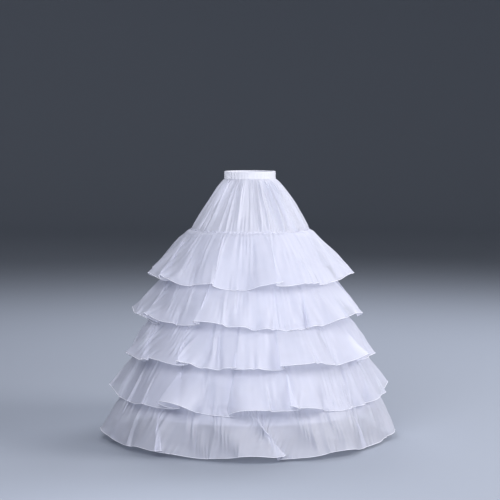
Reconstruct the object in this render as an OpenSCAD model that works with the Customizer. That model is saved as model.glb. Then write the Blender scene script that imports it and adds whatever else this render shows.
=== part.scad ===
// Hoop petticoat: an elastic waistband, a gathered yoke and five gathered flounces
// over a cone-shaped skirt that four spring-steel hoops hold open.
// The origin is the centre of the waistband, +Z is up and the wearer faces -Y.

/* [Waist] */
// Girth of the waist, round the inside of the band
waist_girth = 560; // [520:5:680]
// Height of the waistband
band_height = 28; // [22:1:40]
// Thickness of the waistband cloth
band_cloth = 1.2; // [0.8:0.1:2]
// Thickness of the elastic inside the band
elastic_thickness = 1.6; // [1:0.1:3]
// Depth of the yoke's edge that is stitched up inside the band
band_tuck = 6; // [4:0.5:8]
// Number of shirring ridges round the band
shirr_count = 56; // [40:4:72]
// Height of the shirring ridges at the back of the band
shirr_depth = 1.5; // [0.5:0.1:2.5]

/* [Yoke] */
// Drop from the lower edge of the band to the first flounce
yoke_drop = 191; // [150:1:240]
// Radius of the skirt at the first flounce
yoke_radius = 222; // [180:1:260]
// How far the gathers swell out beyond a plain cone
yoke_swell = 10; // [4:1:24]
// Number of pleats gathered into the band
pleat_count = 24; // [16:1:32]
// Height of a pleat where it is fullest
pleat_depth = 8; // [3:0.5:12]

/* [Skirt] */
// Thickness of the skirt and flounce cloth
cloth = 1.2; // [0.8:0.1:2]
// Slope of the skirt, from the vertical
skirt_slope = 20.5; // [15:0.5:24]
// Distance down the skirt from one flounce seam to the next
tier_spacing = 150; // [130:1:170]
// Length of plain skirt below the last flounce seam
hem_panel_drop = 105; // [60:1:140]

/* [Hoops] */
// Width of the flat coated steel
hoop_width = 8; // [5:0.5:12]
// Thickness of the flat coated steel
hoop_thickness = 1.2; // [0.8:0.1:2]
// Gap between the two ends of a hoop
hoop_gap = 6; // [2:1:12]
// Length of the sleeve that joins the ends of a hoop
joiner_length = 44; // [30:1:60]
// Wall of the sleeve
joiner_wall = 0.8; // [0.5:0.1:1.5]
// Thickness of the channel tape
tape_thickness = 0.8; // [0.5:0.1:1.5]
// Width of the stitched flange on each side of a channel
channel_flange = 5; // [3:0.5:9]

/* [Flounces] */
// Length of the cloth in a flounce, from its seam to its hem
flounce_drop = 228; // [200:1:250]
// Length of the rounded shoulder where the gathers leave the seam
shoulder = 12; // [6:1:18]
// Tilt of that shoulder, from the vertical
shoulder_tilt = 75; // [60:1:85]
// Tilt added to the flare of every flounce, beyond its own
extra_tilt = 0; // [-2:0.25:3]
// Tilt by which the flutes swing the flare out and in
flute_tilt = 6.5; // [2:0.25:7.5]
// Tilt by which the flare lessens from the shoulder to the hem
curl_tilt = 8; // [2:1:12]
// Depth of the fine gathers between the flutes
gather_depth = 3; // [0:0.5:4]
// Number of fine gathers round a flounce
gather_count = 26; // [18:1:32]

/* [Hidden] */
// Tilt of each flounce from the vertical, from the top one down
flounce_tilts = [38.5, 37.5, 36, 33.5, 27.5];
// Angles of the flutes' crests round each flounce
flute_crests = [
    [-225, -188, -149, -100, -40, 5, 48, 92],
    [-238, -195, -152, -55, -10, 32, 77],
    [-215, -185, -156, -130, -94, -45, -5, 30, 70, 108],
    [-210, -160, -112, -32, 10, 58, 105],
    [-200, -162, -122, -84, -36, 4, 40, 80, 120],
];
// Spacing of the crests at which the hollow between them has its full depth
full_flute_angle = 45;

// Room between pieces that are laid against each other
seat_gap = 0.3;
// Room between pieces that are stitched face to face
stitch_gap = 0.1;
// Room round the steel inside its joiner
hoop_fit = 0.15;
// Clear drop below the band before the yoke spreads
yoke_lip = 1.5;
// Share of the shirring that is left at the front of the band
front_shirr = 0.35;
// Sides of the gathered shells
flounce_sides = 128;
yoke_sides = 96;
// Points on the outline of each shirring ridge
ridge_points = 6;
// Angle of the back seam, where the hoops are joined
back_angle = 90;
// Place of the fullest pleats and of the fold across a flounce, as shares of the drop
yoke_fullest = 0.3;
flounce_fold = 0.45;

white_cloth = "#eef0fb";
sheer_cloth = "#e6e9f7";
white_tape = "#f4f4f8";
white_elastic = "#f2efe9";
coated_steel = "#dfe3e8";
clear_plastic = "#d5dce4";

$fn = 240;

waist_radius = waist_girth / (2 * PI);
band_pocket = elastic_thickness + 2 * seat_gap;
pocket_radius = waist_radius + band_cloth;
band_radius = pocket_radius + band_pocket + band_cloth;
band_bottom = -band_height / 2;
tuck_radius = pocket_radius + band_pocket / 2;
seam_z = band_bottom - yoke_drop;

joiner_width = hoop_width + 2 * (hoop_fit + joiner_wall);
joiner_thickness = hoop_thickness + 2 * (hoop_fit + joiner_wall);
tunnel_width = joiner_width + 2 * seat_gap;
tunnel_depth = joiner_thickness + 2 * seat_gap;
tape_offset = cloth + stitch_gap;

flounce_count = len(flute_crests);
hoop_count = flounce_count - 1;

function numbered(name, count) = [for (i = [1:count]) str(name, "_", i)];

// Distance down the skirt to a flounce seam, and the radius and height there
function seam_drop(i) = (i - 1) * tier_spacing;
function skirt_radius(drop) = yoke_radius + drop * sin(skirt_slope);
function skirt_z(drop) = seam_z - drop * cos(skirt_slope);

// Angle that a length along a circle takes up
function arc_angle(length, radius) = length / radius * 180 / PI;

// Direction of a vector
function unit(v) = v / norm(v);

// Point at an angle, a radius and a height
function around(angle, radius, z) = [radius * cos(angle), radius * sin(angle), z];

// Swing of a flute, from 1 at a crest to -1 in a hollow of full width between two crests
function flute(angle, crests) = let (
    turned = crests[0] + (angle - crests[0]) % 360,
    place = turned < crests[0] ? turned + 360 : turned,
    k = max([for (j = [0:len(crests) - 1]) if (crests[j] <= place) j]),
    width = (k + 1 < len(crests) ? crests[k + 1] : crests[0] + 360) - crests[k]
) 1 - min(1, width / full_flute_angle) * (1 - cos(360 * (place - crests[k]) / width));

// Closed shell of cloth, half its thickness to each side of the points drape(angle, drop)
module cloth_shell(drape, sides, drops, thickness) {
    nudge_angle = 0.5;
    nudge_drop = 0.5;
    rows = len(drops);
    first = drops[0];
    last = drops[rows - 1];
    function out(angle, drop) = unit(cross(
        drape(angle, min(drop + nudge_drop, last)) - drape(angle, max(drop - nudge_drop, first)),
        drape(angle + nudge_angle, drop) - drape(angle - nudge_angle, drop)
    ));
    function layer(offset) = [
        for (drop = drops) for (i = [0:sides - 1])
            let (angle = i * 360 / sides) drape(angle, drop) + offset * out(angle, drop)
    ];
    function outer(i, row) = row * sides + i % sides;
    function inner(i, row) = rows * sides + outer(i, row);
    walls = [
        for (row = [0:rows - 2]) for (i = [0:sides - 1]) each [
            [outer(i, row), outer(i + 1, row), outer(i + 1, row + 1)],
            [outer(i, row), outer(i + 1, row + 1), outer(i, row + 1)],
            [inner(i, row), inner(i + 1, row + 1), inner(i + 1, row)],
            [inner(i, row), inner(i, row + 1), inner(i + 1, row + 1)],
        ]
    ];
    edges = [
        for (i = [0:sides - 1]) each [
            [inner(i, 0), inner(i + 1, 0), outer(i + 1, 0)],
            [inner(i, 0), outer(i + 1, 0), outer(i, 0)],
            [inner(i, rows - 1), outer(i, rows - 1), outer(i + 1, rows - 1)],
            [inner(i, rows - 1), outer(i + 1, rows - 1), inner(i + 1, rows - 1)],
        ]
    ];
    polyhedron(
        concat(layer(thickness / 2), layer(-thickness / 2)),
        concat(walls, edges),
        convexity = 10
    );
}

// Places a section on the skirt's outer face: x points out of the skirt and y up its slope
module on_skirt(drop) {
    translate([skirt_radius(drop), skirt_z(drop)]) rotate(skirt_slope) children();
}

// Rectangle about the middle of a hoop's tunnel
module tunnel_section(thickness, width) {
    translate([-tape_offset - tunnel_depth / 2, 0]) square([thickness, width], center = true);
}

// Part of a ring centred on the back seam
module ring_arc(angle, middle) {
    rotate([0, 0, middle - angle / 2]) rotate_extrude(angle = angle) children();
}

// Folded band with a pocket for the elastic, shirred most at the back
module waistband() {
    points = shirr_count * ridge_points;
    function shirr(angle) = let (back = (1 + sin(angle)) / 2)
        shirr_depth * (front_shirr + (1 - front_shirr) * back) * (1 + cos(shirr_count * angle)) / 2;
    outline = [
        for (i = [0:points - 1]) let (angle = i * 360 / points, radius = band_radius + shirr(angle))
            [radius * cos(angle), radius * sin(angle)]
    ];
    pocket_height = band_height - band_cloth;
    overcut = 1;
    color(white_cloth) difference() {
        translate([0, 0, band_bottom]) linear_extrude(band_height) polygon(outline);
        cylinder(h = band_height + 2 * overcut, r = waist_radius, center = true);
        translate([0, 0, band_bottom - overcut]) difference() {
            cylinder(h = pocket_height + overcut, r = pocket_radius + band_pocket);
            cylinder(h = pocket_height + overcut, r = pocket_radius);
        }
    }
}

// Flat elastic in the pocket, above the tucked edge of the yoke
module waist_elastic() {
    height = band_height - band_cloth - band_tuck - 2 * seat_gap;
    color(white_elastic) translate([0, 0, band_bottom + band_tuck + seat_gap]) rotate_extrude()
        translate([pocket_radius + seat_gap, 0]) square([elastic_thickness, height]);
}

// Upper skirt, gathered into the band and spread to the first flounce
module yoke() {
    last = yoke_drop - seat_gap;
    bottom_radius = yoke_radius - cloth / 2;
    fullness = 2.6;
    function share(drop) = max(0, (drop - yoke_lip) / (last - yoke_lip));
    function pleat(angle, t) = pleat_depth * cos(pleat_count * angle) * fullness * sqrt(t) * (1 - t);
    function radius(angle, t) = tuck_radius + (bottom_radius - tuck_radius) * t
        + yoke_swell * sin(180 * t) + pleat(angle, t);
    drape = function(angle, drop) around(angle, radius(angle, share(drop)), band_bottom - drop);
    color(sheer_cloth) cloth_shell(
        drape, yoke_sides, [-band_tuck, yoke_lip, yoke_fullest * last, last], cloth
    );
}

// Plain band of the skirt from one flounce seam to the next
module skirt_panel(i) {
    length = i < flounce_count ? tier_spacing : hem_panel_drop;
    color(white_cloth) rotate_extrude() on_skirt(seam_drop(i))
        translate([-cloth, stitch_gap - length]) square([cloth, length - stitch_gap]);
}

// Tape stitched inside the skirt, raised in the middle to make a tunnel for the hoop
module hoop_channel(i) {
    half = tunnel_width / 2;
    edge = half + tape_thickness + channel_flange;
    hat = [
        [0, -edge], [0, -half], [-tunnel_depth, -half], [-tunnel_depth, half], [0, half], [0, edge],
        [-tape_thickness, edge], [-tape_thickness, half + tape_thickness],
        [-tunnel_depth - tape_thickness, half + tape_thickness],
        [-tunnel_depth - tape_thickness, -half - tape_thickness],
        [-tape_thickness, -half - tape_thickness], [-tape_thickness, -edge],
    ];
    color(white_tape) rotate_extrude() on_skirt(seam_drop(i + 1)) translate([-tape_offset, 0]) polygon(hat);
}

// Flat steel bent to a ring, with a gap between its ends at the back seam
module hoop(i) {
    drop = seam_drop(i + 1);
    gap = arc_angle(hoop_gap, skirt_radius(drop));
    color(coated_steel) ring_arc(360 - gap, back_angle + 180)
        on_skirt(drop) tunnel_section(hoop_thickness, hoop_width);
}

// Flat sleeve over both ends of a hoop
module hoop_joiner(i) {
    drop = seam_drop(i + 1);
    color(clear_plastic) ring_arc(arc_angle(joiner_length, skirt_radius(drop)), back_angle)
        on_skirt(drop) difference() {
            tunnel_section(joiner_thickness, joiner_width);
            tunnel_section(hoop_thickness + 2 * hoop_fit, hoop_width + 2 * hoop_fit);
        }
}

// Gathered strip that rolls out of its seam over a shoulder and falls in flutes to its hem
module flounce(i) {
    drop = seam_drop(i);
    crests = flute_crests[i - 1];
    flare = flounce_tilts[i - 1] + extra_tilt;
    fall = flounce_drop - shoulder;
    curl_rate = -curl_tilt / fall;
    seat = seat_gap + cloth / 2 * (cos(shoulder_tilt) + sin(shoulder_tilt) * tan(skirt_slope));
    top_radius = (skirt_radius(drop) + seat) / cos(180 / flounce_sides);
    function gather(angle, t) = gather_depth * cos(gather_count * angle) * sin(120 * t);
    function start(angle) = flare + flute_tilt * flute(angle, crests) + curl_tilt / 2;
    function run_out(tilt, s) = (cos(tilt) - cos(tilt + curl_rate * s)) / curl_rate * 180 / PI;
    function run_down(tilt, s) = (sin(tilt + curl_rate * s) - sin(tilt)) / curl_rate * 180 / PI;
    drape = function(angle, s) let (
        rolled = min(s, shoulder),
        fallen = max(0, s - shoulder),
        tilt = start(angle)
    ) around(
        angle,
        top_radius + rolled * sin(shoulder_tilt) + run_out(tilt, fallen) + gather(angle, fallen / fall),
        skirt_z(drop) - rolled * cos(shoulder_tilt) - run_down(tilt, fallen)
    );
    color(sheer_cloth) cloth_shell(
        drape, flounce_sides, [0, shoulder, shoulder + flounce_fold * fall, flounce_drop], cloth
    );
}

waistband();
waist_elastic();
yoke();
for (i = [1:flounce_count]) {
    skirt_panel(i);
    flounce(i);
}
for (i = [1:hoop_count]) {
    hoop_channel(i);
    hoop(i);
    hoop_joiner(i);
}
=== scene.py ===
"""Looks of a hoop petticoat: five gathered organza flounces on a hooped skirt, a gathered yoke and a
shirred waistband. Everything is in metres, in the frame of the CAD part: the origin is the middle of
the waistband, +Z is up and the wearer faces -Y."""

from __future__ import annotations

import logging
import math
from collections.abc import Callable
from dataclasses import asdict, dataclass, field, fields, replace
from enum import Enum
from typing import Self

import bpy
import numpy as np
from bpy.types import ID, Material, Node, NodeSocket, NodeTree, Object
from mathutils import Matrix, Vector

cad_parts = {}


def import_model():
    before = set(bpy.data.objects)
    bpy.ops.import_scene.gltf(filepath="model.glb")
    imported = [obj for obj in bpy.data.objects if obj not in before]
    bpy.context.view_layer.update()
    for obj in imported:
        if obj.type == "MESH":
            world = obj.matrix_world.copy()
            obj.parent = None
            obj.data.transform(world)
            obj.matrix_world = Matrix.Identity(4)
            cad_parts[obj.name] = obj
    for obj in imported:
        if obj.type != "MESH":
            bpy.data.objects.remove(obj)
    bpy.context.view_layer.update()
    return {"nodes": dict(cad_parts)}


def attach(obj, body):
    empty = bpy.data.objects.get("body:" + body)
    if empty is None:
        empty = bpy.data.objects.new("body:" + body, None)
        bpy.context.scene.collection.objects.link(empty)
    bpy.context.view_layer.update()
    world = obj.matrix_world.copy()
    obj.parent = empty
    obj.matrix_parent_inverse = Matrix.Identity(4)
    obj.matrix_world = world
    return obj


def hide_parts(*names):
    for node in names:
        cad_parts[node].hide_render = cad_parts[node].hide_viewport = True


LOG = logging.getLogger("petticoat")
Array = np.ndarray
MM = 0.001
BODY = "root"
UV_NAME = "cloth"
# Distance between the lines of a wave texture at a scale of 1
WAVE_PERIOD = math.pi / 10
MULTIPLY = {"operation": "MULTIPLY"}
MULTIPLY_ADD = {"operation": "MULTIPLY_ADD"}
RGBA = {"data_type": "RGBA"}


class Slot(Enum):
    """Material slots of the record."""

    FLOUNCE = "flounce_fabric"
    SKIRT = "skirt_fabric"
    BAND = "waistband_fabric"
    TAPE = "channel_tape"


class Edge(Enum):
    """Edges of a strip of cloth that are sewn down."""

    TOP = "top"
    BOTH = "both"


def linear(hex_value: str) -> tuple[float, float, float, float]:
    """Turns an sRGB hex colour to linear RGBA.

    Args:
        hex_value: Colour as "#rrggbb".

    Returns:
        Linear red, green and blue, with an alpha of 1.
    """
    parts = [int(hex_value[i : i + 2], 16) / 255 for i in (1, 3, 5)]
    rgb = [c / 12.92 if c <= 0.04045 else ((c + 0.055) / 1.055) ** 2.4 for c in parts]
    return (rgb[0], rgb[1], rgb[2], 1.0)


def add_node(tree: NodeTree, kind: str, settings: dict[str, str] | None = None, **inputs: object) -> Node:
    """Adds a node with its settings, values and links.

    Args:
        tree: Node tree that gets the node.
        kind: Blender's name for the node type.
        settings: Attributes to set on the node.
        **inputs: Values, output sockets or nodes, which stand for their first output, by input name
            with _ for a space, or by index as i0, i1.

    Returns:
        The new node.
    """
    node = tree.nodes.new(kind)
    for name, value in (settings or {}).items():
        setattr(node, name, value)
    for name, value in inputs.items():
        by_index = name[0] == "i" and name[1:].isdigit()
        socket = node.inputs[int(name[1:]) if by_index else name.replace("_", " ")]
        source = value.outputs[0] if isinstance(value, Node) else value
        if isinstance(source, NodeSocket):
            tree.links.new(source, socket)
        else:
            socket.default_value = source
    return node


def smooth_step(x: Array, low: float, high: float) -> Array:
    """Rises smoothly from 0 at low to 1 at high."""
    t = np.clip((x - low) / (high - low), 0.0, 1.0)
    return t * t * (3 - 2 * t)


def ring_noise(angles: Array, low: int, high: int, seed: int) -> Array:
    """Makes a random wave round a ring from a band of whole wave counts.

    Args:
        angles: Angles in radians.
        low: Fewest waves round the ring.
        high: Most waves round the ring.
        seed: Seed of the random phases.

    Returns:
        Values with a standard deviation of 1.
    """
    rng = np.random.default_rng(seed)
    wave = np.zeros_like(angles)
    for count in range(low, high + 1):
        wave += rng.uniform(0.4, 1.0) * np.cos(count * angles + rng.uniform(0, 2 * math.pi))
    return wave / wave.std()


def moved_out(points: Array, by: Array) -> Array:
    """Gives points moved away from the skirt's axis by a distance each."""
    moved = points.copy()
    moved[..., :2] *= (1 + by / np.hypot(points[..., 0], points[..., 1]))[..., None]
    return moved


def ring_lengths(points: Array) -> Array:
    """Gives the distance from each point to its neighbour round the ring."""
    return np.linalg.norm(np.roll(points, -1, 1) - points, axis=2)


def add_object(name: str, data: ID) -> Object:
    """Adds an object with its data to the scene."""
    made = bpy.data.objects.new(name, data)
    bpy.context.scene.collection.objects.link(made)
    return made


def grid_object(name: str, points: Array, width: float, length: float) -> Object:
    """Makes a tube of cloth from rows of points round a ring, with UVs in metres of cloth.

    Args:
        name: Name of the object.
        points: Array of rows, columns and coordinates. The columns close on themselves.
        width: Length of the strip of cloth round the ring.
        length: Length of the cloth from the first row to the last.

    Returns:
        The new object, with its faces pointing outwards.
    """
    rows, columns = points.shape[:2]
    i, j = np.meshgrid(np.arange(columns), np.arange(rows - 1))
    nxt = (i + 1) % columns
    below = j + 1
    quads = np.stack([j * columns + i, below * columns + i, below * columns + nxt, j * columns + nxt], -1)
    mesh = bpy.data.meshes.new(name)
    mesh.from_pydata(points.reshape(-1, 3).tolist(), [], quads.reshape(-1, 4).tolist())
    u = np.stack([i, i, i + 1, i + 1], -1) * (width / columns)
    v = np.stack([j, below, below, j], -1) * (length / (rows - 1))
    layer = mesh.uv_layers.new(name=UV_NAME)
    layer.data.foreach_set("uv", np.stack([u, v], -1).astype(np.float32).ravel())
    mesh.shade_smooth()
    LOG.info("%s: %d points", name, rows * columns)
    return add_object(name, mesh)


def hang(piece: Object) -> None:
    """Hangs a piece on the part's one body."""
    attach(piece, BODY)


@dataclass(frozen=True)
class Garment:
    """Sizes of the skirt that the pieces share with the CAD part."""

    waist_radius: float = 560 * MM / (2 * math.pi)
    band_height: float = 28 * MM
    band_cloth: float = 1.2 * MM
    band_pocket: float = 2.2 * MM
    yoke_drop: float = 191 * MM
    yoke_radius: float = 222 * MM
    yoke_swell: float = 9 * MM
    cloth: float = 1.2 * MM
    slope: float = math.radians(20.5)
    spacing: float = 150 * MM
    hem_panel: float = 105 * MM
    flounce_drop: float = 228 * MM
    shoulder: float = 12 * MM
    shoulder_tilt: float = math.radians(75)
    yoke_lean: float = math.radians(30)
    flute_tilt: float = 6.5
    curl_tilt: float = 8.0
    full_flute_angle: float = 45.0

    @property
    def tuck_radius(self) -> float:
        """Radius of the yoke's edge inside the band."""
        return self.waist_radius + self.band_cloth + self.band_pocket / 2

    @property
    def seam_z(self) -> float:
        """Height of the first flounce's seam."""
        return -self.band_height / 2 - self.yoke_drop

    def seam(self, tier: int) -> tuple[float, float]:
        """Gives the radius and height of a flounce's seam on the skirt's outer face."""
        drop = (tier - 1) * self.spacing
        return self.yoke_radius + drop * math.sin(self.slope), self.seam_z - drop * math.cos(self.slope)

    def skirt_radius(self, z: Array) -> Array:
        """Gives the radius of the skirt's outer face at a height."""
        return self.yoke_radius + (self.seam_z - z) * math.tan(self.slope)


GARMENT = Garment()


@dataclass(frozen=True)
class ClothRelaxer:
    """Position-based cloth: a tube of cloth with its true lengths settles round a broad shape.

    The cloth resists stretching, shearing and bending, so the length that the seam takes up has to
    buckle into gathers. Only waves broader than kept_waves round the ring are drawn to the broad shape.
    Each of two points takes the same share of what corrects their distance.
    """

    steps: int
    share: float = 0.25
    stretch: float = 0.85
    shear: float = 0.08
    bend_round: float = 0.03
    bend_down: float = 0.08
    hold: float = 0.08
    damping: float = 0.86
    kept_waves: int = 26
    clear_every: int = 4

    def relax(
        self,
        goal: Array,
        across: Array,
        down: float,
        sewn: Edge,
        keep_clear: Callable[[Array], Array],
    ) -> Array:
        """Lets the cloth settle from its broad shape.

        Args:
            goal: Broad shape, as rows, columns and coordinates.
            across: True distance from each point to its neighbour round the ring.
            down: True distance between rows.
            sewn: Edges that stay where the goal has them.
            keep_clear: Moves points out of what lies under the cloth.

        Returns:
            The settled points.
        """
        x, last = goal.copy(), goal.copy()
        rest = across[..., None]
        slant = np.sqrt((rest[1:] + rest[:-1]) ** 2 / 4 + down**2)
        for step in range(self.steps):
            x, last = x + self.damping * (x - last), x
            x = x + self.hold * self.broad(goal - x)
            self.pull_rows(x, down, 0, self.stretch)
            self.pull_rows(x, slant, 1, self.shear)
            self.pull_rows(x, slant, -1, self.shear)
            push = self.correction(np.roll(x, -1, 1) - x, rest, self.stretch)
            x += push - np.roll(push, 1, 1)
            x -= self.bend_round * self.curl_round(self.curl_round(x))
            x[1:-1] -= self.bend_down * self.curl_down(x)
            if step % self.clear_every == 0 or step == self.steps - 1:
                x = keep_clear(x)
            x[0] = goal[0]
            if sewn is Edge.BOTH:
                x[-1] = goal[-1]
        return x

    def broad(self, offset: Array) -> Array:
        """Keeps only the broad waves of an offset round the ring."""
        waves = np.fft.rfft(offset, axis=1)
        waves[:, self.kept_waves :] = 0
        return np.fft.irfft(waves, n=offset.shape[1], axis=1)

    def correction(self, gap: Array, rest: float | Array, strength: float) -> Array:
        """Gives the move of points that draws them and the points across the gap to their true distance."""
        return self.share * strength * (1 - rest / np.linalg.norm(gap, axis=2, keepdims=True)) * gap

    def pull_rows(self, x: Array, rest: float | Array, shift: int, strength: float) -> None:
        """Draws each point and its neighbour in the next row, shift columns on, to their true distance."""
        push = self.correction(np.roll(x[1:], -shift, 1) - x[:-1], rest, strength)
        x[:-1] += push
        x[1:] -= np.roll(push, shift, 1)

    @staticmethod
    def curl_round(x: Array) -> Array:
        """Gives how far each point lies from the middle of its neighbours round the ring."""
        return (np.roll(x, 1, 1) + np.roll(x, -1, 1)) / 2 - x

    @staticmethod
    def curl_down(x: Array) -> Array:
        """Gives how far each inner row's point lies from the middle of its neighbours above and below."""
        return x[1:-1] - (x[:-2] + x[2:]) / 2


@dataclass
class RadiusMap:
    """Outermost radius of what lies under a flounce, by angle and height."""

    bins: int = 360
    step: float = 8 * MM
    low: float = -1.1
    rows: int = 140
    gap: float = 2.5 * MM
    most_push: float = 6 * MM
    radius: Array = field(init=False)

    def __post_init__(self) -> None:
        """Starts with the bare skirt."""
        z = self.low + self.step * np.arange(self.rows)
        self.radius = np.repeat(GARMENT.skirt_radius(z)[:, None], self.bins, 1)

    def place(self, points: Array) -> tuple[Array, Array, Array]:
        """Gives the height bin, angle bin and radius of points."""
        turn = np.arctan2(points[..., 1], points[..., 0]) / (2 * math.pi) % 1.0
        k = np.clip(np.rint((points[..., 2] - self.low) / self.step).astype(int), 0, self.rows - 1)
        return k, (turn * self.bins).astype(int) % self.bins, np.hypot(points[..., 0], points[..., 1])

    def add(self, points: Array) -> None:
        """Adds a settled flounce to the map."""
        k, turn, radius = self.place(points)
        np.maximum.at(self.radius, (k, turn), radius)

    def keep_clear(self, points: Array) -> Array:
        """Gives points moved out to a gap from what the map holds."""
        k, turn, radius = self.place(points)
        return moved_out(points, np.clip(self.radius[k, turn] + self.gap - radius, 0, self.most_push))


@dataclass(frozen=True)
class Finish:
    """Stuff that a piece is made of, as a material."""

    name: str

    def add_shader(self, tree: NodeTree) -> Node:
        """Adds the nodes of the finish and gives the last one."""
        raise NotImplementedError

    def build(self) -> Material:
        """Builds the material.

        Returns:
            The material.
        """
        material = bpy.data.materials.new(self.name)
        material.use_nodes = True
        tree = material.node_tree
        tree.nodes.clear()
        add_node(tree, "ShaderNodeOutputMaterial", Surface=self.add_shader(tree))
        return material


@dataclass(frozen=True)
class Organza(Finish):
    """Crisp sheer organza: plain weave of hard-twisted white yarn, so folds stack up to white and a
    single layer lets the background through. Uneven yarn runs as streaks along the warp."""

    name: str = "organza_white"
    yarn: str = "#f3f4fd"
    slub: str = "#eff1fb"
    thread_mm: float = 1.2
    streak_mm: float = 22.0
    streaks_a_metre: float = 9.0
    glow: float = 0.22
    sheer: float = 0.36

    def add_shader(self, tree: NodeTree) -> Node:
        """Adds the nodes of the organza, on the piece's cloth UVs."""
        uv = add_node(tree, "ShaderNodeUVMap", {"uv_map": UV_NAME})
        # The yarn is about 0.2 mm, too fine to show, so it is drawn as coarse as thread_mm
        lines = {"Vector": uv, "Scale": WAVE_PERIOD / (self.thread_mm * MM), "Distortion": 0.4}
        warp = add_node(tree, "ShaderNodeTexWave", {"bands_direction": "X"}, **lines).outputs["Fac"]
        weft = add_node(tree, "ShaderNodeTexWave", {"bands_direction": "Y"}, **lines).outputs["Fac"]
        weave = add_node(tree, "ShaderNodeMath", MULTIPLY, i0=warp, i1=weft)
        drawn_out = (1 / (self.streak_mm * MM), self.streaks_a_metre, 1.0)
        drawn = add_node(tree, "ShaderNodeVectorMath", MULTIPLY, i0=uv, i1=drawn_out)
        streaks = add_node(tree, "ShaderNodeTexNoise", Vector=drawn, Scale=1.0, Detail=1.0)
        span = {"Value": streaks, "From_Min": 0.3, "From_Max": 0.7}
        tone = add_node(tree, "ShaderNodeMapRange", **span)
        colours = {"i6": linear(self.slub), "i7": linear(self.yarn)}
        colour = add_node(tree, "ShaderNodeMix", RGBA, i0=tone, **colours).outputs[2]
        bump = add_node(tree, "ShaderNodeBump", Strength=0.06, Distance=0.3 * MM, Height=weave)
        sheen = {"Sheen_Weight": 0.15, "Sheen_Roughness": 0.4}
        face = add_node(
            tree, "ShaderNodeBsdfPrincipled", Base_Color=colour, Roughness=0.45, Normal=bump, **sheen
        )
        through = add_node(tree, "ShaderNodeBsdfTranslucent", Color=colour, Normal=bump)
        cloth = add_node(tree, "ShaderNodeMixShader", Fac=self.glow, i1=face, i2=through)
        gaps = add_node(tree, "ShaderNodeBsdfTransparent")
        # Thick streaks are a little less open
        share = {"To_Min": self.sheer * 1.03, "To_Max": self.sheer * 0.97}
        open_share = add_node(tree, "ShaderNodeMapRange", **span, **share)
        return add_node(tree, "ShaderNodeMixShader", Fac=open_share, i1=cloth, i2=gaps)


class Binding(Enum):
    """Way in which the threads of a woven cloth cross, by the directions of the lines that it shows."""

    PLAIN = ("X", "Y")
    TWILL = ("DIAGONAL",)
    RIBBED = ("Z",)


@dataclass(frozen=True)
class Weave(Finish):
    """Woven cotton or polyester that light barely passes: matt, with the lines of its binding.

    The threads are about a quarter of a millimetre, too fine to show, so thread_mm draws them coarser.
    """

    yarn: str
    shade: str
    thread_mm: float
    binding: Binding = Binding.PLAIN
    roughness: float = 0.75
    glow: float = 0.0
    follows_cloth: bool = False

    def add_shader(self, tree: NodeTree) -> Node:
        """Adds the nodes of the weave, on the piece's cloth UVs or on Object coordinates."""
        if self.follows_cloth:
            place = add_node(tree, "ShaderNodeUVMap", {"uv_map": UV_NAME}).outputs["UV"]
        else:
            place = add_node(tree, "ShaderNodeTexCoord").outputs["Object"]
        lines = {"Vector": place, "Scale": WAVE_PERIOD / (self.thread_mm * MM), "Distortion": 0.5}
        height: Node | NodeSocket | None = None
        for line in self.binding.value:
            wave = add_node(tree, "ShaderNodeTexWave", {"bands_direction": line}, **lines).outputs["Fac"]
            height = add_node(tree, "ShaderNodeMath", MULTIPLY, i0=height, i1=wave) if height else wave
        blotch = add_node(tree, "ShaderNodeTexNoise", Vector=place, Scale=14.0, Detail=5.0)
        # Painted shade: the colour darkens towards the shade colour in the hollows between the threads, and
        # random blotches vary the tone
        hollow_shade_and_blotch = add_node(tree, "ShaderNodeMath", MULTIPLY_ADD, i0=height, i1=0.35, i2=blotch)
        tone = add_node(tree, "ShaderNodeMapRange", Value=hollow_shade_and_blotch, From_Min=0.35, From_Max=0.95)
        colours = {"i6": linear(self.shade), "i7": linear(self.yarn)}
        colour = add_node(tree, "ShaderNodeMix", RGBA, i0=tone, **colours).outputs[2]
        bump = add_node(tree, "ShaderNodeBump", Strength=0.25, Distance=0.3 * MM, Height=height)
        face = add_node(
            tree, "ShaderNodeBsdfPrincipled", Base_Color=colour, Roughness=self.roughness, Normal=bump
        )
        if not self.glow:
            return face
        through = add_node(tree, "ShaderNodeBsdfTranslucent", Color=colour, Normal=bump)
        return add_node(tree, "ShaderNodeMixShader", Fac=self.glow, i1=face, i2=through)


@dataclass(frozen=True)
class Coating(Finish):
    """Smooth hard skin, lacquer on steel or extruded vinyl: glossy, with faint draw marks and rubbed
    spots."""

    colour: str
    rubbed: str
    grain_mm: float
    roughness: float
    clear: float = 0.0

    def add_shader(self, tree: NodeTree) -> Node:
        """Adds the nodes of the coating, on Object coordinates."""
        place = add_node(tree, "ShaderNodeTexCoord").outputs["Object"]
        fine = 1 / (self.grain_mm * MM)
        grain = add_node(tree, "ShaderNodeTexNoise", Vector=place, Scale=fine, Detail=3.0)
        spots = add_node(tree, "ShaderNodeTexNoise", Vector=place, Scale=30.0, Detail=6.0, Roughness=0.7)
        share = add_node(tree, "ShaderNodeMapRange", Value=spots, From_Min=0.52, From_Max=0.72)
        colours = {"i6": linear(self.colour), "i7": linear(self.rubbed)}
        colour = add_node(tree, "ShaderNodeMix", RGBA, i0=share, **colours).outputs[2]
        span = {"To_Min": self.roughness * 0.8, "To_Max": self.roughness * 1.25}
        matt = add_node(tree, "ShaderNodeMapRange", Value=grain, **span)
        bump = add_node(tree, "ShaderNodeBump", Strength=0.08, Distance=0.1 * MM, Height=grain)
        skin = add_node(tree, "ShaderNodeBsdfPrincipled", Base_Color=colour, Roughness=matt, Normal=bump)
        if not self.clear:
            return skin
        gaps = add_node(tree, "ShaderNodeBsdfTransparent")
        return add_node(tree, "ShaderNodeMixShader", Fac=self.clear, i1=skin, i2=gaps)


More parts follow.
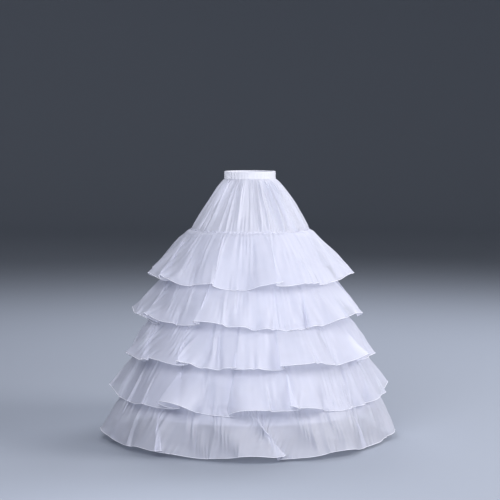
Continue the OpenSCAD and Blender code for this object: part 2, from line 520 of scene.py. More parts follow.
@dataclass(frozen=True)
class Stitch:
    """Sizes of a seam's cord and of the small stitches over it, with their lean in radians."""

    cord_radius: float
    spacing: float
    length: float
    radius: float
    lean: float = 0.0


# Overlocked hem, whose thread lies askew over a roll of cloth
HEM_STITCH = Stitch(1.3 * MM, 5 * MM, 2.4 * MM, 0.7 * MM, math.radians(55))
GATHERING_STITCH = Stitch(0.25 * MM, 6 * MM, 2 * MM, 0.5 * MM)
BAND_STITCH = Stitch(0.2 * MM, 3.2 * MM, 1.3 * MM, 0.4 * MM)
LOCKSTITCH = Stitch(0.2 * MM, 7 * MM, 2.4 * MM, 0.5 * MM)


class Sewing:
    """Sewing with one thread: a Geometry Nodes tree turns loops of edges into a cord with small stitches
    over it."""

    def __init__(self, thread: Material) -> None:
        """Builds the tree with its named inputs.

        Args:
            thread: Material of the thread.
        """
        self.thread = thread
        self.tree = tree = bpy.data.node_groups.new("stitched_edge", "GeometryNodeTree")
        face = tree.interface
        face.new_socket("Geometry", in_out="INPUT", socket_type="NodeSocketGeometry")
        kinds = {size.name: "NodeSocketFloat" for size in fields(Stitch)} | {"thread": "NodeSocketMaterial"}
        self.keys: dict[str, str] = {}
        for label, kind in kinds.items():
            self.keys[label] = face.new_socket(label, in_out="INPUT", socket_type=kind).identifier
        face.new_socket("Geometry", in_out="OUTPUT", socket_type="NodeSocketGeometry")
        given = add_node(tree, "NodeGroupInput").outputs
        path = add_node(tree, "GeometryNodeMeshToCurve", Mesh=given["Geometry"])
        section = add_node(
            tree, "GeometryNodeCurvePrimitiveCircle", Resolution=5, Radius=given["cord_radius"]
        )
        cord = add_node(tree, "GeometryNodeCurveToMesh", Curve=path, Profile_Curve=section)
        points = add_node(
            tree, "GeometryNodeCurveToPoints", {"mode": "LENGTH"}, Curve=path, Length=given["spacing"]
        )
        bead = add_node(tree, "GeometryNodeMeshUVSphere", Segments=5, Rings=3, Radius=1.0)
        thick = given["radius"]
        size = add_node(tree, "ShaderNodeCombineXYZ", X=thick, Y=thick, Z=given["length"])
        shaped = add_node(tree, "GeometryNodeTransform", Geometry=bead, Scale=size)
        lean = add_node(tree, "ShaderNodeCombineXYZ", X=given["lean"])
        tilted = add_node(tree, "GeometryNodeTransform", Geometry=shaped, Rotation=lean)
        turned = points.outputs["Rotation"]
        stitches = add_node(
            tree, "GeometryNodeInstanceOnPoints", Points=points, Instance=tilted, Rotation=turned
        )
        joined = add_node(tree, "GeometryNodeJoinGeometry", Geometry=cord)
        tree.links.new(stitches.outputs["Instances"], joined.inputs["Geometry"])
        real = add_node(tree, "GeometryNodeRealizeInstances", Geometry=joined)
        smooth = add_node(tree, "GeometryNodeSetShadeSmooth", Geometry=real)
        dressed = add_node(tree, "GeometryNodeSetMaterial", Geometry=smooth, Material=given["thread"])
        add_node(tree, "NodeGroupOutput", Geometry=dressed)

    def sew(self, name: str, paths: list[Array], stitch: Stitch) -> Object:
        """Sews along closed paths, makes the seam a plain mesh and hangs it on the part.

        Args:
            name: Name of the piece.
            paths: Closed loops of points.
            stitch: Sizes of the seam.

        Returns:
            The finished piece.
        """
        verts, edges = [], []
        for path in paths:
            first, count = len(verts), len(path)
            verts += path.tolist()
            edges += [(first + k, first + (k + 1) % count) for k in range(count)]
        mesh = bpy.data.meshes.new(name + "_path")
        mesh.from_pydata(verts, edges, [])
        piece = add_object(name, mesh)
        modifier = piece.modifiers.new("stitches", "NODES")
        modifier.node_group = self.tree
        for label, value in (asdict(stitch) | {"thread": self.thread}).items():
            modifier[self.keys[label]] = value
        graph = bpy.context.evaluated_depsgraph_get()
        made = bpy.data.meshes.new_from_object(
            piece.evaluated_get(graph), preserve_all_data_layers=True, depsgraph=graph
        )
        piece.modifiers.clear()
        piece.data = made
        made.name = name
        bpy.data.meshes.remove(mesh)
        hang(piece)
        LOG.info("%s: %d rows", name, len(paths))
        return piece


class Table:
    """Kind of thing that is written down as rows of numbers."""

    @classmethod
    def rows(cls, *numbers: tuple[float, ...]) -> tuple[Self, ...]:
        """Makes one thing from each row."""
        return tuple(cls(*row) for row in numbers)


@dataclass(frozen=True)
class Fold(Table):
    """Place where a flounce laps over itself.

    The angle at the hem and the width are in degrees, lap is how far the edges overlap and step how
    far the right side stands out over the left one, both in degrees at the hem. The lean is the angle
    that the fold runs to the right from the seam to the hem.
    """

    angle: float
    width: float
    lap: float
    step: float
    lean: float = 0.0


@dataclass(frozen=True)
class Swing(Table):
    """Place where a flounce hangs further out than its flutes, or further in where the tilt is below 0.

    The angle, the half width and the tilt at the hem are in degrees.
    """

    angle: float
    width: float
    tilt: float


@dataclass(frozen=True)
class Crease(Table):
    """Ridge down a tube of cloth, or a furrow where its height is below 0.

    The angle at its upper end and its lean over its run are in degrees, the rest in millimetres: half
    width at the upper end, growth of that by the lower end, height, first place and length of the run.
    """

    angle: float
    lean: float
    width: float
    growth: float
    height: float
    first: float
    run: float


@dataclass(frozen=True)
class CreaseKind:
    """Ranges from which one kind of crease is drawn at random, in millimetres and degrees."""

    count: int
    height: tuple[float, float]
    width: tuple[float, float]
    growth: tuple[float, float]
    first: tuple[float, float]
    run: tuple[float, float]
    lean: float
    furrows: float = 0.25
    furrow_depth: float = -0.7

    def scaled(self, around: float) -> CreaseKind:
        """Gives the same kind for a longer or shorter seam, with as many creases to the metre."""
        return replace(self, count=round(self.count * around))

    def draw(self, seed: int) -> list[Crease]:
        """Draws the creases with uneven gaps round the ring.

        Args:
            seed: Seed of the draw.

        Returns:
            The creases.
        """
        rng = np.random.default_rng(seed)
        gaps = rng.gamma(4.0, 1.0, self.count)
        angles = np.cumsum(gaps) / gaps.sum() * 360
        made = []
        for angle in angles:
            height = rng.uniform(*self.height) * (self.furrow_depth if rng.random() < self.furrows else 1.0)
            width, growth = rng.uniform(*self.width), rng.uniform(*self.growth)
            first, run = rng.uniform(*self.first), rng.uniform(*self.run)
            lean = rng.normal(0.0, self.lean)
            made.append(Crease(float(angle), lean, width, growth, height, first, run))
        return made


# Counts are for a metre of seam
SEAM_GATHERS = CreaseKind(42, (2.0, 6.0), (4.5, 9.0), (4.0, 14.0), (-6.0, 2.0), (35.0, 120.0), 1.2, 0.3)
SOFT_FOLDS = CreaseKind(9, (4.0, 10.0), (8.0, 16.0), (8.0, 30.0), (5.0, 90.0), (140.0, 460.0), 2.5)
# Counts are for the whole yoke
YOKE_PLEATS = CreaseKind(44, (4.0, 9.5), (3.0, 5.5), (4.0, 11.0), (-20.0, 10.0), (140.0, 460.0), 3.0)
BAND_GATHERS = CreaseKind(46, (1.6, 4.6), (2.0, 3.6), (3.0, 8.0), (-10.0, 0.0), (40.0, 130.0), 1.5, 0.2)
SEAM_PLEATS = CreaseKind(64, (2.2, 5.5), (3.0, 6.0), (1.0, 4.0), (150.0, 205.0), (70.0, 120.0), 1.0, 0.35)
# Creases narrower than this, in millimetres, are pressed sharp, and broader ones roll over
SHARP_WIDTH = 10
# Number of waves that the dents of crumpled cloth are made of, and their typical length down the cloth
DENT_WAVES = 36
DENT_LENGTH = 0.11


def crease_height(creases: list[Crease], turn: Array, drops: Array, radius: Array) -> Array:
    """Adds up the heights of creases over a tube of cloth.

    Args:
        creases: The creases.
        turn: Angle of each column in degrees.
        drops: Distance of each row down the cloth.
        radius: Radius of each row.

    Returns:
        Height over the tube in rows and columns.
    """
    total = np.zeros((len(drops), len(turn)))
    for crease in creases:
        t = (drops / MM - crease.first) / crease.run
        rows = np.nonzero((t > 0) & (t < 1))[0]
        if not len(rows):
            continue
        t = t[rows]
        middle = crease.angle + crease.lean * t
        away = (turn[None] - middle[:, None] + 180) % 360 - 180
        wide = (crease.width + crease.growth * t) * MM
        x = np.abs(np.radians(away) * (radius[rows] / wide)[:, None])
        power = 1.3 if crease.width < SHARP_WIDTH else 2.0
        # A crease rises quickly and dies out over the lower half of its run
        fade = smooth_step(t, 0, 0.14) * (1 - smooth_step(t, 0.55, 1.0))
        total[rows] += crease.height * MM * fade[:, None] * np.exp(-1.4 * x**power)
    return total


def crumple(turn: Array, drops: Array, count: int, seed: int) -> Array:
    """Makes the small soft dents of cloth that has lain folded.

    Args:
        turn: Angle of each column in degrees.
        drops: Distance of each row down the cloth.
        count: Typical number of dents round the ring.
        seed: Seed of the draw.

    Returns:
        Heights with a standard deviation of 1.
    """
    rng = np.random.default_rng(seed)
    angle = np.radians(turn)[None]
    wave = np.zeros((len(drops), len(turn)))
    for _ in range(DENT_WAVES):
        around = int(rng.uniform(0.4, 1.6) * count)
        along = rng.normal(0.0, 1.0) * 2 * math.pi / DENT_LENGTH
        wave += np.cos(around * angle + along * drops[:, None] + rng.uniform(0, 2 * math.pi))
    wave = -np.abs(wave)
    return (wave - wave.mean()) / wave.std()


@dataclass
class Flounce:
    """Strip of organza gathered to a seam on the skirt, which falls in flutes to a rolled hem."""

    tier: int
    flare: float
    crests: tuple[float, ...]
    strip: float
    folds: tuple[Fold, ...]
    swings: tuple[Swing, ...]
    creases: tuple[Crease, ...]
    ease: float = 0.003
    hem_wave: float = 0.7
    heading: float = 6 * MM
    heading_rows: int = 3
    rows: int = 32
    seat: float = 0.9 * MM
    dent: float = 1.5 * MM
    dents: int = 34
    seam_wave: float = 0.8 * MM
    thread_lift: float = 0.002
    steps: int = 140

    @property
    def name(self) -> str:
        """Name of the CAD node that the flounce stands for."""
        return f"flounce_{self.tier}"

    @property
    def columns(self) -> int:
        """Number of columns of the grid, more on the longer strips."""
        return 840 + 120 * self.tier

    @property
    def seed(self) -> int:
        """First seed of the flounce's random draws."""
        return 10 * self.tier

    def flute(self, degrees: Array) -> Array:
        """Gives the swing of the flutes, from 1 at a crest to -1 in a hollow."""
        first = self.crests[0]
        ends = np.array([*self.crests, first + 360])
        place = first + (degrees - first) % 360
        k = np.searchsorted(ends, place, side="right") - 1
        wide = ends[k + 1] - ends[k]
        depth = np.minimum(1, wide / GARMENT.full_flute_angle)
        return 1 - depth * (1 - np.cos(2 * math.pi * (place - ends[k]) / wide))

    def broad_shape(self, drops: Array, turn: Array) -> Array:
        """Works out the flared and fluted shape without its gathers.

        Args:
            drops: Distance of each row down the cloth from the seam.
            turn: Angle of each column in degrees.

        Returns:
            Points in rows and columns.
        """
        fall = GARMENT.flounce_drop - GARMENT.shoulder
        rolled = np.minimum(drops, GARMENT.shoulder)[:, None]
        fallen = np.maximum(drops - GARMENT.shoulder, 0)[:, None]
        t = fallen / fall
        tilt = self.flare + GARMENT.flute_tilt * self.flute(turn)[None] + np.zeros_like(t)
        angle = np.radians(turn)[None] + np.zeros_like(t)
        tilt += self.hem_wave * ring_noise(np.radians(turn), 7, 24, self.seed + 5)[None] * t**1.2
        for fold in self.folds:
            x = ((turn[None] - fold.angle + fold.lean * (1 - t) + 180) % 360 - 180) / fold.width
            bell = np.exp(-x * x / 2)
            angle -= math.radians(fold.lap) * x * bell * t**0.5
            tilt += fold.step * np.tanh(1.5 * x) * np.exp(-x * x / 8) * t
        for swing in self.swings:
            x = ((turn - swing.angle + 180) % 360 - 180)[None] / swing.width
            tilt += swing.tilt * np.exp(-x * x / 2) * t
        begin = np.radians(tilt + GARMENT.curl_tilt / 2)
        rate = -math.radians(GARMENT.curl_tilt) / fall
        out = (np.cos(begin) - np.cos(begin + rate * fallen)) / rate
        drop = (np.sin(begin + rate * fallen) - np.sin(begin)) / rate
        seam_radius, seam_z = GARMENT.seam(self.tier)
        radius = seam_radius + self.seat + rolled * math.sin(GARMENT.shoulder_tilt) + out
        z = seam_z - rolled * math.cos(GARMENT.shoulder_tilt) - drop
        return np.stack([radius * np.cos(angle), radius * np.sin(angle), z], -1)

    def settle(self, under: RadiusMap) -> Array:
        """Gathers the strip and lets it settle over what lies under it.

        Args:
            under: Map of the skirt and the flounces below.

        Returns:
            Points in rows and columns.
        """
        drops = np.linspace(0, GARMENT.flounce_drop, self.rows)
        turn = np.arange(self.columns) * 360 / self.columns
        goal = self.broad_shape(drops, turn)
        mean_radius = np.hypot(goal[..., 0], goal[..., 1]).mean(1)
        around = 2 * math.pi * mean_radius[0]
        creases = list(self.creases)
        creases += SEAM_GATHERS.scaled(around).draw(self.seed + 1)
        creases += SOFT_FOLDS.scaled(around).draw(self.seed + 2)
        bulge = crease_height(creases, turn, drops, mean_radius)
        dents = self.dent * crumple(turn, drops, self.dents, self.seed + 3)
        # The gathers leave no room for dents near the seam
        bulge += dents * smooth_step(drops, 10 * MM, 60 * MM)[:, None]
        out = moved_out(goal, bulge)
        out[0, :, 2] += self.seam_wave * ring_noise(np.radians(turn), 50, 130, self.seed + 4)
        across = ring_lengths(out) * (1 + self.ease)
        down = GARMENT.flounce_drop / (self.rows - 1)
        solver = ClothRelaxer(self.steps)
        fallen = solver.relax(out, across, down, Edge.TOP, under.keep_clear)
        return np.concatenate([self.ruffle(fallen[0], turn), fallen])

    def ruffle(self, seam: Array, turn: Array) -> Array:
        """Makes the narrow ruffled heading that stands above the seam.

        Args:
            seam: Points of the seam.
            turn: Angle of each column in degrees.

        Returns:
            Points in rows and columns, from the top.
        """
        slope = GARMENT.yoke_lean if self.tier == 1 else GARMENT.slope
        wave = ring_noise(np.radians(turn), 30, 80, self.seed + 6)
        rows = []
        # The edge of the heading waves up and down, and in and out
        for share in np.linspace(1, 0, self.heading_rows, endpoint=False):
            rise = share * self.heading * (1 + 0.18 * wave)
            row = moved_out(seam, share * (1.0 + 0.8 * np.roll(wave, 3)) * MM - rise * math.sin(slope))
            row[:, 2] += rise * math.cos(slope)
            rows.append(row)
        return np.array(rows)

    def build(self, under: RadiusMap, cloth: Material, sewing: Sewing) -> None:
        """Builds the flounce, its hem and its gathering thread.

        Args:
            under: Map of what lies under it, which then gets this flounce too.
            cloth: Material of the strip.
            sewing: Maker of the hem and the gathering.
        """
        points = self.settle(under)
        under.add(points)
        length = GARMENT.flounce_drop + self.heading
        piece = grid_object(f"{self.name}_organza", points, self.strip, length)
        piece.data.materials.append(cloth)
        hang(piece)
        hem = sewing.sew(f"{self.name}_hem", [points[-1]], HEM_STITCH)
        # Every third point is enough for a thread that follows the gathers
        line = points[self.heading_rows][::3] * (1 + self.thread_lift)
        seam = sewing.sew(f"{self.name}_gathering", [line], GATHERING_STITCH)
        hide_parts(self.name)


@dataclass
class Yoke:
    """Upper skirt of organza, gathered into the band and eased onto the first seam."""

    strip: float = 1.5
    length: float = 235 * MM
    columns: int = 840
    rows: int = 40
    ease: float = 0.004
    tuck: float = 4 * MM
    seam_gap: float = 0.3 * MM
    full_side: float = math.radians(-30)
    dent: float = 0.5 * MM
    dents: int = 40
    steps: int = 120
    creases: tuple[Crease, ...] = Crease.rows(
        (-171, -7, 5, 7, -6, -10, 330), (-162, -7, 5, 7, 8, -10, 330), (-103, 3, 4, 6, 9, -10, 330),
        (-95, 4, 4, 7, -9, -10, 400), (-88, 5, 4, 7, 11, -10, 400), (-80, 5, 4, 7, -9, -10, 400),
        (-73, 6, 4, 7, 11, -10, 400), (-64, 6, 5, 8, -9, -10, 400), (-55, 6, 5, 8, 11, -10, 400),
    )

    def broad_shape(self, turn: Array) -> Array:
        """Works out the plain swelling cone without its gathers.

        Args:
            turn: Angle of each column in radians.

        Returns:
            Points in rows and columns.
        """
        t = np.linspace(0, 1, self.rows)
        last = GARMENT.yoke_radius - GARMENT.cloth / 2
        # The cloth is fuller on the side that the camera has on its right
        full = 0.62 + 0.5 * np.cos(turn - self.full_side)
        swell = GARMENT.yoke_swell * np.sin(math.pi * t**0.95)[:, None] * full[None]
        grid = (GARMENT.tuck_radius + (last - GARMENT.tuck_radius) * t)[:, None] + swell
        top = -GARMENT.band_height / 2 + self.tuck
        z = top + (GARMENT.seam_z + self.seam_gap - top) * t
        height = np.broadcast_to(z[:, None], grid.shape)
        return np.stack([grid * np.cos(turn), grid * np.sin(turn), height], -1)

    def build(self, cloth: Material) -> None:
        """Builds the yoke.

        Args:
            cloth: Material of the strip.
        """
        turn = np.arange(self.columns) * 2 * math.pi / self.columns
        goal = self.broad_shape(turn)
        radius = np.hypot(goal[..., 0], goal[..., 1]).mean(1)
        drops = np.linspace(0, self.length, self.rows)
        creases = [*self.creases, *YOKE_PLEATS.draw(71), *BAND_GATHERS.draw(72), *SEAM_PLEATS.draw(73)]
        degrees = np.degrees(turn)
        bulge = crease_height(creases, degrees, drops, radius)
        bulge = bulge + self.dent * crumple(degrees, drops, self.dents, 74)
        t = drops / self.length
        # Both edges are sewn flat
        bulge *= (smooth_step(t, 0, 0.05) * (1 - smooth_step(t, 0.96, 1.0)))[:, None]
        out = goal.copy()
        out[..., :2] *= (1 + bulge / radius[:, None])[..., None]
        solver = ClothRelaxer(self.steps)
        down = self.length / (self.rows - 1)
        points = solver.relax(out, ring_lengths(out) * (1 + self.ease), down, Edge.BOTH, lambda p: p)
        piece = grid_object("yoke_organza", points, self.strip, self.length)
        piece.data.materials.append(cloth)
        hang(piece)
        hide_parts("yoke")


@dataclass
class Waistband:
    """Cotton casing folded over the elastic, shirred most at the back."""

    thickness: float = 1.0 * MM
    columns: int = 672
    side_points: int = 14
    crown_points: int = 7
    ridges: int = 42
    front_ridge: float = 0.5
    back_ridge: float = 3.0
    pinch: float = 0.75
    pinch_width: float = 1.1 * MM
    edge_wave: float = 0.25 * MM
    thread_lift: float = 0.008
    strip: float = 0.64
    casing: float = 60 * MM
    stitch_rows: tuple[float, ...] = (-11 * MM, -7 * MM, 1 * MM, 9 * MM)

    def section(self) -> tuple[Array, Array, Array]:
        """Gives the casing's section from its inner edge over the top to its outer edge.

        Returns:
            Radius, height and share of the ridges at each point.
        """
        half, count = GARMENT.band_height / 2, self.side_points
        inner = GARMENT.waist_radius + self.thickness / 2
        outer = GARMENT.waist_radius + 2 * GARMENT.band_cloth + GARMENT.band_pocket - self.thickness / 2
        crown = (outer - inner) / 2
        side = np.linspace(-half + self.thickness / 2, half - crown - self.thickness / 2, count)
        arc = np.linspace(math.pi, 0, self.crown_points)[1:-1]
        over = inner + crown + crown * np.cos(arc)
        radius = np.concatenate([np.full(count, inner), over, np.full(count, outer)])
        height = np.concatenate([side, side[-1] + crown * np.sin(arc), side[::-1]])
        share = np.concatenate([np.zeros(count), 0.5 + 0.5 * np.cos(arc), np.ones(count)])
        return radius, height, share

    def build(self, cloth: Material, sewing: Sewing) -> None:
        """Builds the casing and its stitching.

        Args:
            cloth: Material of the casing.
            sewing: Maker of the stitches.
        """
        turn = np.arange(self.columns) * 2 * math.pi / self.columns
        radius, height, share = self.section()
        # The front lies plain, and uneven ridges grow towards the sides and the back
        drift = 0.6 * ring_noise(turn, 3, 14, 81)
        back = smooth_step(np.sin(turn), -0.75, -0.3)
        ridge = (0.5 + 0.5 * np.cos(self.ridges * turn + drift * 2.2)) ** 1.3
        # The rows of stitches above the seam draw the ridges in
        away = (height[:, None] - np.array(self.stitch_rows[1:])) / self.pinch_width
        drawn = 1 - self.pinch * np.exp(-(away**2)).max(1)
        size = (self.front_ridge + self.back_ridge * back[None]) * MM
        grid = radius[:, None] + size * ridge[None] * share[:, None] * drawn[:, None]
        wave = self.edge_wave * ring_noise(turn, 30, 70, 82) * back
        tall = height[:, None] + wave[None]
        points = np.stack([grid * np.cos(turn), grid * np.sin(turn), tall], -1)[::-1]
        piece = grid_object("waistband_casing", np.ascontiguousarray(points), self.strip, self.casing)
        solid = piece.modifiers.new("thickness", "SOLIDIFY")
        solid.thickness = self.thickness
        solid.offset = 0
        piece.data.materials.append(cloth)
        hang(piece)
        outer = points[: len(points) // 2]
        lift = np.array([1 + self.thread_lift, 1 + self.thread_lift, 1])
        rows = [outer[np.abs(outer[:, 0, 2] - z).argmin()] * lift for z in self.stitch_rows]
        stitches = sewing.sew("waistband_stitching", rows, BAND_STITCH)
        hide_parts("waistband")


@dataclass
class Underskirt:
    """Hooped skirt under the flounces: its CAD nodes keep their shapes and get their finishes."""

    finishes: dict[str, Material]
    tape: float = 0.9 * MM
    flange: float = 8.55 * MM
    hem_rows: tuple[float, ...] = (3 * MM, 14 * MM)

    def dress(self, nodes: dict[str, Object]) -> None:
        """Gives each CAD node its finish by the start of its name.

        Args:
            nodes: CAD objects by node name.
        """
        for name, node in nodes.items():
            for start, material in self.finishes.items():
                if name.startswith(start):
                    node.data.materials.clear()
                    node.data.materials.append(material)
                    break

    def on_skirt(self, drop: float, out: float, up: float) -> Array:
        """Gives a ring of points on the skirt.

        Args:
            drop: Distance down the skirt from the first seam.
            out: Distance out from the skirt's outer face.
            up: Distance up the skirt's slope from there.

        Returns:
            The points.
        """
        turn = np.arange(360) * math.pi / 180
        slope, down = GARMENT.slope, drop - up
        radius = GARMENT.yoke_radius + down * math.sin(slope) + out * math.cos(slope)
        z = GARMENT.seam_z - down * math.cos(slope) + out * math.sin(slope)
        return np.stack([radius * np.cos(turn), radius * np.sin(turn), np.full_like(turn, z)], -1)

    def stitch(self, sewing: Sewing) -> None:
        """Sews the hoop channels to the skirt and hems it.

        Args:
            sewing: Maker of the stitches.
        """
        inside = -GARMENT.cloth - self.tape
        for hoop in range(1, 5):
            rows = [self.on_skirt(hoop * GARMENT.spacing, inside, up) for up in (-self.flange, self.flange)]
            sewing.sew(f"hoop_channel_{hoop}_stitching", rows, LOCKSTITCH)
        hem = 4 * GARMENT.spacing + GARMENT.hem_panel
        rows = [self.on_skirt(hem, out, up) for out in (-GARMENT.cloth, 0) for up in self.hem_rows]
        sewing.sew("skirt_hem_stitching", rows, LOCKSTITCH)


@dataclass(frozen=True)
class Panel:
    """Square soft light: its angles to the right of the camera's side and up in degrees, its distance
    from the skirt, its side, its power in watts and its colour."""

    name: str
    right: float
    up: float
    away: float
    size: float
    watts: float
    colour: str


PANELS = (
    Panel("front", -12, 24, 2.4, 1.1, 38, "#f4f5ff"),
    Panel("right", 72, 25, 4.6, 2.2, 138, "#fdfbff"),
    Panel("rear", 140, 40, 5.0, 2.5, 112, "#f2f4ff"),
    Panel("rear_left", -168, 45, 5.0, 2.5, 88, "#f2f4ff"),
)


@dataclass
class Studio:
    """Pale round floor that curves up far out, soft lights and the camera."""

    floor_z: float = -0.985
    floor_colour: str = "#a3aab4"
    flat_radius: float = 11.0
    rim_radius: float = 4.0
    rim_top: float = 9.0
    rim_steps: int = 13
    sides: int = 96
    air_colour: str = "#dde1ec"
    air_strength: float = 0.2
    lit_z: float = -0.45
    distance: float = 6.1
    azimuth: float = -30.0
    eye_z: float = 0.22
    aim_z: float = -0.283
    lens: float = 117.0

    def build(self) -> None:
        """Builds the stage."""
        self.add_floor()
        for panel in PANELS:
            self.add_panel(panel)
        self.add_air()
        self.add_camera()

    def add_floor(self) -> None:
        """Adds the round floor with its raised rim, wide enough for a camera on any side."""
        flat, rim = self.flat_radius, self.rim_radius
        bends = np.linspace(0, math.pi / 2, self.rim_steps)
        rings = [(flat / 2, 0.0)]
        rings += [(flat + rim * math.sin(a), rim * (1 - math.cos(a))) for a in bends]
        rings.append((flat + rim, self.rim_top))
        turns = np.arange(self.sides) * 2 * math.pi / self.sides
        verts = [(0.0, 0.0, self.floor_z)]
        verts += [(r * math.cos(a), r * math.sin(a), self.floor_z + z) for r, z in rings for a in turns]
        faces = [(0, 1 + k, 1 + (k + 1) % self.sides) for k in range(self.sides)]
        for ring in range(len(rings) - 1):
            first = 1 + ring * self.sides
            for k in range(self.sides):
                nxt = (k + 1) % self.sides
                faces.append((first + k, first + self.sides + k, first + self.sides + nxt, first + nxt))
        mesh = bpy.data.meshes.new("studio_floor")
        mesh.from_pydata(verts, [], faces)
        mesh.shade_smooth()
        floor = add_object("studio_floor", mesh)
        # Matt backdrop paper
        material = bpy.data.materials.new("studio_paper")
        material.use_nodes = True
        shader = material.node_tree.nodes["Principled BSDF"]
        shader.inputs["Base Color"].default_value = linear(self.floor_colour)
        shader.inputs["Roughness"].default_value = 0.9
        mesh.materials.append(material)

    def add_air(self) -> None:
        """Adds the pale surroundings."""
        world = bpy.data.worlds.new("studio_air")
        world.use_nodes = True
        background = world.node_tree.nodes["Background"]
        background.inputs["Color"].default_value = linear(self.air_colour)
        background.inputs["Strength"].default_value = self.air_strength
        bpy.context.scene.world = world

    def add_panel(self, panel: Panel) -> None:
        """Adds a soft light that faces the skirt.

        Args:
            panel: The light.
        """
        turn, up = math.radians(self.azimuth + panel.right), math.radians(panel.up)
        spot = Vector((math.sin(turn) * math.cos(up), -math.cos(turn) * math.cos(up), math.sin(up)))
        light = bpy.data.lights.new(panel.name, "AREA")
        light.size = panel.size
        light.energy = panel.watts
        light.color = linear(panel.colour)[:3]
        lamp = add_object(panel.name, light)
        lamp.location = spot * panel.away + Vector((0, 0, self.lit_z))
        lamp.rotation_euler = (-spot).to_track_quat("-Z", "Y").to_euler()

    def add_camera(self) -> None:
        """Adds the camera at the photograph's viewing angle."""
        turn = math.radians(self.azimuth)
        eye = Vector((math.sin(turn) * self.distance, -math.cos(turn) * self.distance, self.eye_z))
        camera = bpy.data.cameras.new("camera")
        camera.lens = self.lens
        camera.sensor_width = 36
        view = add_object("camera", camera)
        view.location = eye
        view.rotation_euler = (Vector((0, 0, self.aim_z)) - eye).to_track_quat("-Z", "Y").to_euler()
        bpy.context.scene.camera = view


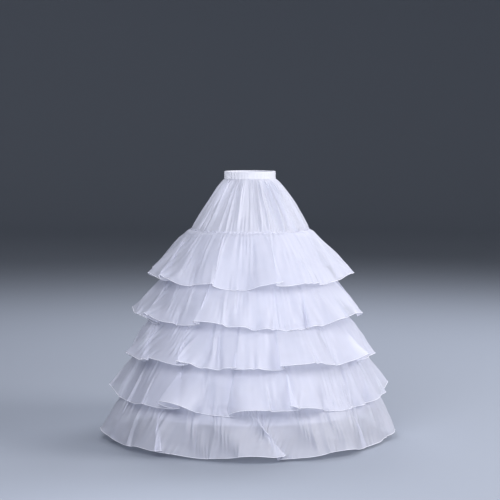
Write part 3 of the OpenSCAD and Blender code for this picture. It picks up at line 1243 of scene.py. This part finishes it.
FLOUNCES = (
    Flounce(
        tier=1,
        flare=38.5,
        crests=(-225, -190, -149, -100, -40, 5, 48, 92),
        strip=2.55,
        folds=Fold.rows(
            (-177, 4.5, 13, 5, 11), (-141, 4, 5, -1), (-104, 4, 8, -3.5), (-18, 5, 9, 5),
            (38, 5, 10, -4.5), (88, 5, 9, 5), (132, 4, 9, -5),
        ),
        swings=Swing.rows(
            (-205, 8, 3), (-171, 6, 9), (-158, 7, -8), (-150, 6, -3), (-130, 9, -6.5), (-96, 6, -7),
            (-70, 8, 3), (62, 9, -5), (112, 8, -4),
        ),
        creases=Crease.rows(
            (-174, 12, 8, 6, 8, 8, 330), (-179, 17, 7, 6, -8, 8, 330), (-134, 5, 10, 12, 7, 10, 400),
            (-118, 1, 7, 6, -7, 60, 180),
        ),
    ),
    Flounce(
        tier=2,
        flare=37.5,
        crests=(-250, -208, -152, -55, -10, 32, 77),
        strip=2.86,
        folds=Fold.rows(
            (-181, 4.5, 13, 5, 14), (-146, 3, 5, 3), (-88, 3, 6, 2.5, -3), (-22, 4, 9, -4.5),
            (22, 5, 10, 5), (70, 4, 8, -4), (120, 5, 10, 5),
        ),
        swings=Swing.rows(
            (-175, 6, 10), (-159, 8, -7), (-98, 9, -3), (-82, 8, -3), (-62, 8, 2), (-40, 12, 2),
            (48, 8, -5), (98, 7, 4),
        ),
        creases=Crease.rows(
            (-146, -4, 6, 3, 11, 70, 170), (-145, 14, 13, 8, -12, 70, 240),
            (-122, -12, 13, 8, -12, 70, 240), (-105, 0, 10, 8, -8, 60, 320), (-97, 7, 8, 6, -8, 70, 220),
        ),
    ),
    Flounce(
        tier=3,
        flare=36.0,
        crests=(-242, -188, -156, -130, -94, -45, -5, 30, 70, 108),
        strip=3.20,
        folds=Fold.rows(
            (-173, 4, 10, 4, 16), (-150, 4, 10, 5, 9), (-127, 3, 6, -3), (-106, 3, 6, 3), (-59, 4, 9, -6),
            (0, 4, 9, 5), (48, 5, 10, -4.5), (96, 4, 9, 5),
        ),
        swings=Swing.rows(
            (-205, 10, -4), (-172, 6, 6), (-145, 5, 7), (-134, 6, -9), (-113, 6, 5), (-64, 7, 8),
            (-36, 14, -7), (16, 7, -4), (84, 8, -5),
        ),
        creases=Crease.rows(
            (-142, 4, 7, 6, -11, 70, 320), (-139, 3, 7, 4, 8, 70, 320), (-136, 2, 6, 4, -10, 80, 260),
            (-123, -1, 10, 9, 8, 60, 340), (-112, 2, 12, 8, -8, 60, 340), (-80, 6, 12, 12, -7, 80, 300),
        ),
    ),
    Flounce(
        tier=4,
        flare=33.5,
        crests=(-210, -160, -112, -32, 10, 58, 105),
        strip=3.44,
        folds=Fold.rows(
            (-153, 4, 12, 6, 1), (-128, 3, 6, 3), (-103, 4, 9, 5), (-20, 4, 9, -4.5), (30, 5, 10, 5),
            (82, 4, 9, -5), (128, 4, 8, 4),
        ),
        swings=Swing.rows(
            (-200, 9, -4), (-162, 6, -4), (-147, 5, 8), (-132, 7, -7), (-99, 4, 6), (-84, 8, -5),
            (-60, 10, -5), (-34, 8, -7), (44, 7, 4), (96, 8, -4),
        ),
        creases=Crease.rows(
            (-142, 1, 10, 9, -8, 60, 340), (-121, -10, 14, 15, 11, 60, 340),
            (-111, 3, 12, 9, -7, 80, 300), (-74, 6, 10, 9, 10, 70, 340), (-70, 6, 8, 8, -8, 70, 320),
        ),
    ),
    Flounce(
        tier=5,
        flare=27.5,
        crests=(-200, -162, -122, -84, -36, 4, 40, 80, 120),
        strip=3.74,
        folds=Fold.rows(
            (-189, 4, 8, 4), (-156, 4, 8, 4, 9), (-108, 4, 9, -4, 14), (-66, 3, 7, 4, 6), (-12, 4, 9, 5),
            (36, 4, 9, -4.5), (76, 5, 10, 5), (124, 4, 9, 4.5),
        ),
        swings=Swing.rows(
            (-145, 10, -5), (-130, 12, -3), (-105, 14, -3), (-70, 14, -4), (-40, 12, -6), (20, 8, -4),
            (100, 8, -4),
        ),
        creases=Crease.rows(
            (-174, -3, 14, 9, 10, 60, 380), (-144, 0, 12, 12, 7, 60, 380), (-138, 0, 10, 6, -7, 60, 380),
            (-135, 0, 10, 9, 11, 60, 380), (-137, 52, 22, 14, -13, 20, 400),
            (-128, 50, 20, 14, 15, 20, 400), (-103, 14, 18, 12, 11, 20, 400),
            (-88, 8, 18, 12, -8, 40, 400), (-78, 10, 14, 12, 8, 60, 340),
        ),
    ),
)


def main() -> None:
    """Builds the petticoat on its frame and the studio round it."""
    logging.basicConfig(level=logging.INFO, format="%(name)s %(message)s")
    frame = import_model()
    bpy.context.scene.view_settings.view_transform = "Standard"
    Studio().build()
    organza = Organza().build()
    thread = Weave("polyester_thread_white", "#fbfbff", "#eff0f9", 1.4, Binding.TWILL, 0.55).build()
    lining = Weave("polyester_taffeta_white", "#eff0f8", "#e2e5f1", 1.6, Binding.PLAIN, 0.7, 0.25).build()
    tape = Weave("cotton_twill_tape", "#f3f3f7", "#e2e4ec", 1.8, Binding.TWILL, 0.85).build()
    elastic = Weave("woven_elastic", "#efece6", "#d9d5cc", 2.2, Binding.RIBBED, 0.85).build()
    cotton = Weave("cotton_lawn_white", "#fafafd", "#eeeff6", 1.4, Binding.PLAIN, 0.8, 0.1, True).build()
    steel = Coating("lacquered_spring_steel", "#e6e9ec", "#c9ced4", 1.5, 0.35).build()
    plastic = Coating("clear_vinyl_sleeve", "#dfe5ea", "#cfd7de", 2.5, 0.22, 0.35).build()
    underskirt = Underskirt(
        {
            "skirt_panel": lining,
            "hoop_channel": tape,
            "hoop_joiner": plastic,
            "hoop_": steel,
            "waist_elastic": elastic,
        }
    )
    underskirt.dress(frame["nodes"])
    sewing = Sewing(thread)
    underskirt.stitch(sewing)
    # The last flounce carries the hem, in a closer weave that lets less light through
    close = Organza("organza_close", sheer=0.32).build()
    under = RadiusMap()
    for flounce in reversed(FLOUNCES):
        flounce.build(under, close if flounce.tier == len(FLOUNCES) else organza, sewing)
    # The yoke's gathers lie so close that little shows through them
    Yoke().build(Organza("organza_gathered", sheer=0.16).build())
    Waistband().build(cotton, sewing)


if __name__ == "__main__":
    main()
